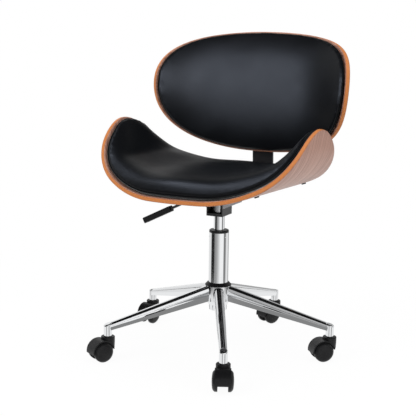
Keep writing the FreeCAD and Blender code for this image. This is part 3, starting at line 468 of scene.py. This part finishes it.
# Sizes of each flat blank: half its flat middle, its bends as (radius, degrees), half its
# width, its reach to the front and the rear, and the powers and sweep of its outline
seat_shape = {"flat": 0.0603, "bends": [(0.281, 28.1), (0.1427, 52.5)], "half": 0.3666,
              "front": 0.2360, "rear": 0.2503, "side_power": 1.7, "front_power": 1.78,
              "rear_power": 2.02, "sweep": -0.007}
back_shape = {"flat": 0.0645, "bends": [(0.2368, 62.8)], "half": 0.3276,
              "front": 0.1692, "rear": 0.1529, "side_power": 2.328, "front_power": 2.125,
              "rear_power": 2.012, "sweep": 0.0}
seat_tilt = math.radians(2.12)
back_tilt = math.radians(9.7)
seat_centre = Vector((0, -0.0213, 0.407339))
back_centre = Vector((0, 0.284729, 0.646339))
seat_place = Matrix.Translation(seat_centre) @ Matrix.Rotation(-seat_tilt, 4, "X")
back_place = Matrix.Translation(back_centre) @ Matrix.Rotation(math.pi / 2 - back_tilt, 4, "X")


def outline_point(shape, radius, angle):
    """Flat place across and along the blank, for a share of the way out and an angle."""
    c = math.cos(angle)
    s = math.sin(angle)
    share = radius * math.copysign(abs(c) ** (2 / shape["side_power"]), c)
    if s < 0:
        reach = -shape["front"] * abs(s) ** (2 / shape["front_power"])
    else:
        reach = shape["rear"] * abs(s) ** (2 / shape["rear_power"])
    return share * shape["half"], radius * reach + shape["sweep"] * share * share


def bent(shape, s, t, off):
    """Place of a point of the flat blank once the blank is bent, in the shell's own frame."""
    side = -1.0 if s < 0 else 1.0
    left = max(abs(s) - shape["flat"], 0.0)
    x = min(abs(s), shape["flat"])
    n = 0.0
    slope = 0.0
    for radius, degrees in shape["bends"]:
        turned = min(left / radius, math.radians(degrees))
        x += radius * (math.sin(slope + turned) - math.sin(slope))
        n += radius * (math.cos(slope) - math.cos(slope + turned))
        slope += turned
        left -= turned * radius
    x += left * math.cos(slope) - off * math.sin(slope)
    n += left * math.sin(slope) + off * math.cos(slope)
    return Vector((side * x, t, n))


def pressed_shell(name, shape, place, material, node):
    """One blank: rings of faces grown to its outline, thickened, rounded at the rim and bent.
    Each point keeps its place on the flat blank, which the grain follows."""
    mesh = bmesh.new()
    bmesh.ops.create_circle(mesh, cap_ends=True, cap_tris=True, segments=shell_segments,
                            radius=1 / shell_rings)
    rim = [edge for edge in mesh.edges if edge.is_boundary]
    for ring in range(2, shell_rings + 1):
        grown = bmesh.ops.extrude_edge_only(mesh, edges=rim)["geom"]
        rim = [item for item in grown if isinstance(item, bmesh.types.BMEdge) and item.is_boundary]
        points = {vert for edge in rim for vert in edge.verts}
        bmesh.ops.scale(mesh, vec=(ring / (ring - 1), ring / (ring - 1), 1), verts=list(points))
    for vert in mesh.verts:
        radius = vert.co.to_2d().length
        s, t = outline_point(shape, radius, math.atan2(vert.co.y, vert.co.x))
        vert.co = Vector((s, t, 0))
    bmesh.ops.recalc_face_normals(mesh, faces=mesh.faces)
    raised = bmesh.ops.extrude_face_region(mesh, geom=mesh.faces[:], use_keep_orig=True)["geom"]
    top = [item for item in raised if isinstance(item, bmesh.types.BMVert)]
    bmesh.ops.translate(mesh, vec=(0, 0, ply), verts=top)
    sharp = [edge for edge in mesh.edges if edge.calc_face_angle(0.0) > math.radians(rim_angle)]
    bmesh.ops.bevel(mesh, geom=sharp, offset=rim_rounding, offset_type="OFFSET", segments=4, profile=0.5,
                    affect="EDGES", material=-1, clamp_overlap=True)
    flat_place = mesh.verts.layers.float_vector.new("blank")
    for vert in mesh.verts:
        vert[flat_place] = vert.co
        vert.co = place @ bent(shape, *vert.co)
    piece = finish_piece(mesh, name, material, "seat", rim_angle)
    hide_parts(node)
    return piece


def walnut_grain():
    """Veneer figure along X: pores, streaks and slow changes of colour."""
    group, given, result = shader_group(
        "walnut_grain", [("Vector", "Vector"), ("Pale", "Color"), ("Brown", "Color"), ("Dark", "Color")],
        [("Color", "Color"), ("Pores", "Float"), ("Streaks", "Float")])
    long_scale = node_of(group, "ShaderNodeMapping", Scale=(3.0, 150.0, 150.0))
    group.links.new(given["Vector"], long_scale.inputs["Vector"])
    streaks = noise(group, long_scale.outputs[0], 1.0, 5.0, 0.62)
    pore_scale = node_of(group, "ShaderNodeMapping", Scale=(26.0, 1300.0, 1300.0))
    group.links.new(given["Vector"], pore_scale.inputs["Vector"])
    pores = stretch(group, noise(group, pore_scale.outputs[0], 1.0, 2.0), 0.52, 0.68, 0.0, 1.0)
    slow = noise(group, given["Vector"], 5.0, 2.0)
    figure = mixed(group, stretch(group, streaks, 0.38, 0.62, 0.0, 1.0), given["Pale"], given["Brown"])
    darker = arithmetic(group, "MULTIPLY", pores, stretch(group, slow, 0.3, 0.7, 0.25, 0.6))
    group.links.new(mixed(group, darker, figure, given["Dark"]), result["Color"])
    group.links.new(pores, result["Pores"])
    group.links.new(streaks, result["Streaks"])
    return group


walnut, tree, shader = plain_material("walnut_plywood", (0.40, 0.23, 0.17), Specular_IOR_Level=0.2,
                                      Coat_Weight=0.05, Coat_Roughness=0.3)
blank = tree.nodes.new("ShaderNodeAttribute")
blank.attribute_name = "blank"
grain = tree.nodes.new("ShaderNodeGroup")
grain.node_tree = walnut_grain()
tree.links.new(blank.outputs["Vector"], grain.inputs["Vector"])
grain.inputs["Pale"].default_value = (0.45, 0.25, 0.185, 1)
grain.inputs["Brown"].default_value = (0.26, 0.125, 0.088, 1)
grain.inputs["Dark"].default_value = (0.17, 0.085, 0.06, 1)
split = tree.nodes.new("ShaderNodeSeparateXYZ")
tree.links.new(blank.outputs["Vector"], split.inputs[0])
depth = arithmetic(tree, "DIVIDE", split.outputs["Z"], ply)
# Tones of the core's plies through the thickness, darker at the glue lines and at the faces
core_tones = [(0.0, (0.25, 0.08, 0.028)), (0.10, (0.41, 0.14, 0.043)), (0.22, (0.56, 0.20, 0.06)),
              (0.34, (0.46, 0.158, 0.046)), (0.46, (0.57, 0.205, 0.062)), (0.58, (0.47, 0.162, 0.047)),
              (0.70, (0.56, 0.20, 0.06)), (0.84, (0.43, 0.14, 0.043)), (1.0, (0.27, 0.085, 0.031))]
core_tone = ramp(tree, depth, core_tones)
fibre_scale = node_of(tree, "ShaderNodeMapping", Scale=(60.0, 60.0, 1500.0))
tree.links.new(blank.outputs["Vector"], fibre_scale.inputs["Vector"])
fibres = noise(tree, fibre_scale.outputs[0], 1.0, 3.0)
core_fibres = mixed(tree, 0.35, core_tone, ramp(tree, fibres, [(0.3, 0.55), (0.7, 1.0)]), "MULTIPLY")
veneer = face_veneer / ply
is_core = ramp(tree, depth, [(0.0, 0.0), (veneer, 0.0), (2 * veneer, 1.0), (1 - 2 * veneer, 1.0),
                             (1 - veneer, 0.0)])
tree.links.new(mixed(tree, is_core, grain.outputs["Color"], core_fibres), shader.inputs["Base Color"])
tree.links.new(stretch(tree, grain.outputs["Streaks"], 0.3, 0.7, 0.30, 0.42), shader.inputs["Roughness"])
add_bump(tree, shader, grain.outputs["Pores"], 0.2, 0.0001)

seat_shell = pressed_shell("seat_plywood", seat_shape, seat_place, walnut, "seat_shell")
seat_shell.visible_glossy = False       # its lit underside would fleck the chrome brown
back_shell = pressed_shell("back_plywood", back_shape, back_place, walnut, "back_shell")


# Upholstered pads
# Each pad is foam under black leather: a crowned top panel and a side band, joined by a welt
# that runs round the rim, and stapled to a board that is screwed to the plywood.
leather, tree, shader = plain_material("black_leather", (0.003, 0.0033, 0.004), Specular_IOR_Level=0.12)
place = own_place(tree)
add_haze(tree, shader, 9.0, 0.36, 0.46)
cells = node_of(tree, "ShaderNodeTexVoronoi", Scale=620.0)
cells.feature = "DISTANCE_TO_EDGE"
wander = node_of(tree, "ShaderNodeTexNoise", Scale=240.0, Detail=2.0)
tree.links.new(place, wander.inputs["Vector"])
shifted = mixed(tree, 0.003, place, wander.outputs["Color"], kind="VECTOR")
tree.links.new(shifted, cells.inputs["Vector"])
pebbles = stretch(tree, cells.outputs["Distance"], 0.0, 0.25, 0.0, 1.0)
add_bump(tree, shader, pebbles, 0.18, 0.00012)

pad_voxel = 0.005
pad_grip = 0.0035               # nearer to the plywood than this, the leather is stapled down
pad_shrink = 0.002              # taken off before the pad is blown up
pad_pressure = 4.0
pad_frames = 20
pad_travel = 0.005              # how far the leather may stand off the foam's own shape
pad_evening = 40                # rounds that spread the swelling and take out creases
pad_roll = 0.016                # height over the plywood from which the top and its sides roll together
skin_rounds = 8                 # smoothing rounds for the whole skin
roll_rounds = 60                # and for the roll
welt_radius = 0.0021
welt_sink = 0.0009              # how deep the welt sits in its seam
welt_points = 220
seam_height = 0.006             # of the welt over the plywood
seam_reach = 0.008              # how far from the welt the leather is pulled down
seam_depth = 0.0016
seat_seam_share = 0.986         # of the way out to the blank's outline
back_seam_share = 0.984


def merged_copy(node, name):
    """A solid's mesh as a new piece, with its corners joined."""
    mesh = bmesh.new()
    mesh.from_mesh(frame["nodes"][node].data)
    bmesh.ops.remove_doubles(mesh, verts=mesh.verts, dist=1e-5)
    data = bpy.data.meshes.new(name)
    mesh.to_mesh(data)
    mesh.free()
    piece = bpy.data.objects.new(name, data)
    scene.collection.objects.link(piece)
    return piece


def apply_modifiers(piece):
    """Replace a piece's mesh by what its modifiers make of it."""
    bpy.context.view_layer.update()
    evaluated = piece.evaluated_get(bpy.context.evaluated_depsgraph_get())
    data = bpy.data.meshes.new_from_object(evaluated)
    piece.modifiers.clear()
    piece.data = data


def reshape(piece, move):
    """Run an edit over a piece's mesh as a bmesh."""
    mesh = bmesh.new()
    mesh.from_mesh(piece.data)
    mesh.normal_update()
    move(mesh)
    mesh.to_mesh(piece.data)
    mesh.free()
    piece.data.update()


def surface_tree(piece):
    """Search tree that finds the nearest point of a piece's surface."""
    mesh = bmesh.new()
    mesh.from_mesh(piece.data)
    found = BVHTree.FromBMesh(mesh)
    mesh.free()
    return found


def evened(piece, values):
    """Average a value at each vertex with its neighbours', time after time."""
    ends = np.empty(2 * len(piece.data.edges), dtype=np.int64)
    piece.data.edges.foreach_get("vertices", ends)
    first, second = ends.reshape(-1, 2).T
    ties = np.bincount(ends, minlength=len(values))[:, None]
    for _ in range(pad_evening):
        around = np.zeros_like(values)
        np.add.at(around, first, values[second])
        np.add.at(around, second, values[first])
        values = 0.5 * values + 0.5 * around / ties
    return values


def blown_up(pad, board):
    """Leather drawn tight over the foam: pressure swells it, and the plywood side stays put."""
    before = [vert.co.copy() for vert in pad.data.vertices]

    def shrink(mesh):
        for vert in mesh.verts:
            vert.co -= vert.normal * pad_shrink

    held = pad.vertex_groups.new(name="held")
    stapled = [i for i, co in enumerate(before) if board.find_nearest(co)[3] < pad_grip]
    held.add(stapled, 1.0, "REPLACE")
    reshape(pad, shrink)
    cloth = pad.modifiers.new("leather", "CLOTH")
    cloth.settings.quality = 6
    cloth.settings.mass = 0.4
    cloth.settings.tension_stiffness = 30.0
    cloth.settings.compression_stiffness = 30.0
    cloth.settings.shear_stiffness = 12.0
    cloth.settings.bending_stiffness = 6.0
    cloth.settings.use_pressure = True
    cloth.settings.uniform_pressure_force = pad_pressure
    cloth.settings.effector_weights.gravity = 0.0
    cloth.settings.vertex_group_mass = held.name
    cloth.point_cache.frame_start = 1
    cloth.point_cache.frame_end = pad_frames
    for step in range(1, pad_frames + 1):
        scene.frame_set(step)
    apply_modifiers(pad)
    scene.frame_set(1)
    moves = []
    for vert, home in zip(pad.data.vertices, before):
        moved = vert.co - home
        moves.append(moved * min(1.0, pad_travel / max(moved.length, pad_travel)))
    moves = evened(pad, np.array(moves))
    pad.data.vertices.foreach_set("co", (np.array(before) + moves).ravel())


def rim_route(pad, shape, place, share):
    """Points on the pad's skin along its rim seam, all the way round."""
    skin = surface_tree(pad)
    route = []
    for step in range(welt_points):
        s, t = outline_point(shape, share, 2 * math.pi * step / welt_points)
        near = place @ bent(shape, s, t, ply + seam_height)
        spot, normal, _, _ = skin.find_nearest(near)
        route.append((spot, normal))
    return route


def pull_seam(pad, route):
    """Draw the leather down beside the welt."""
    line = BVHTree.FromPolygons([spot for spot, _ in route],
                                [(i, (i + 1) % len(route), (i + 1) % len(route)) for i in range(len(route))])

    def pull(mesh):
        for vert in mesh.verts:
            near = line.find_nearest(vert.co, seam_reach)
            if near[0] is not None:
                closeness = 1.0 - near[3] / seam_reach
                vert.co -= vert.normal * seam_depth * closeness * closeness

    reshape(pad, pull)


def welt(name, route):
    """Round cord sewn into the seam, as one closed tube."""
    curve = bpy.data.curves.new(name, "CURVE")
    curve.dimensions = "3D"
    curve.bevel_depth = welt_radius
    curve.bevel_resolution = 3
    spline = curve.splines.new("NURBS")
    spline.points.add(len(route) - 1)
    for point, (spot, normal) in zip(spline.points, route):
        point.co = (*(spot - normal * welt_sink), 1.0)
    spline.use_cyclic_u = True
    spline.order_u = 4
    drawn = bpy.data.objects.new(name + "_line", curve)
    scene.collection.objects.link(drawn)
    bpy.context.view_layer.update()
    data = bpy.data.meshes.new_from_object(drawn.evaluated_get(bpy.context.evaluated_depsgraph_get()))
    bpy.data.objects.remove(drawn)
    mesh = bmesh.new()
    mesh.from_mesh(data)
    bpy.data.meshes.remove(data)
    bmesh.ops.remove_doubles(mesh, verts=mesh.verts, dist=1e-6)
    finish_piece(mesh, name, leather, "seat", 80.0)


def upholster(name, node, shell, shape, place, share):
    """Foam and leather over one shell, with the welt along its rim."""
    pad = merged_copy(node, name)
    even = pad.modifiers.new("even_mesh", "REMESH")
    even.mode = "VOXEL"
    even.voxel_size = pad_voxel
    apply_modifiers(pad)
    board = surface_tree(shell)
    blown_up(pad, board)

    def relax(mesh):
        above = [vert for vert in mesh.verts if board.find_nearest(vert.co)[3] > pad_roll]
        for verts, rounds in ((mesh.verts, skin_rounds), (above, roll_rounds)):
            for _ in range(rounds):
                bmesh.ops.smooth_vert(mesh, verts=verts, factor=0.5, use_axis_x=True, use_axis_y=True,
                                      use_axis_z=True)

    reshape(pad, relax)
    finer = pad.modifiers.new("finer", "SUBSURF")
    finer.levels = 1
    finer.render_levels = 1
    apply_modifiers(pad)
    route = rim_route(pad, shape, place, share)
    pull_seam(pad, route)
    pad.data.shade_smooth()
    pad.data.materials.clear()
    pad.data.materials.append(leather)
    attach(pad, "seat")
    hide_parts(node)
    welt(name + "_welt", route)
    return pad


def sheen_lamp(name, pad, where, target, width, height, brightness):
    """Wide soft lamp that shows only as a cool sheen on one pad."""
    lamp = area_lamp(name, where, target, brightness * math.pi * width * height, width, height)
    lamp.data.color = (0.75, 0.83, 1.0)
    lamp.visible_camera = False
    lamp.visible_diffuse = False
    lit = bpy.data.collections.new(name + "_shines_on")
    lit.objects.link(pad)
    lamp.light_linking.receiver_collection = lit


seat_cushion = upholster("seat_cushion", "seat_pad", seat_shell, seat_shape, seat_place, seat_seam_share)
back_cushion = upholster("back_cushion", "back_pad", back_shell, back_shape, back_place, back_seam_share)
sheen_lamp("back_sheen", back_cushion, (0.2, -2.5, 1.85), (0, 0.25, 0.65), 11.0, 1.5, 12.6)
sheen_lamp("seat_sheen", seat_cushion, (-0.5, -0.9, 2.1), (0, -0.2, 0.45), 1.7, 1.1, 11.5)
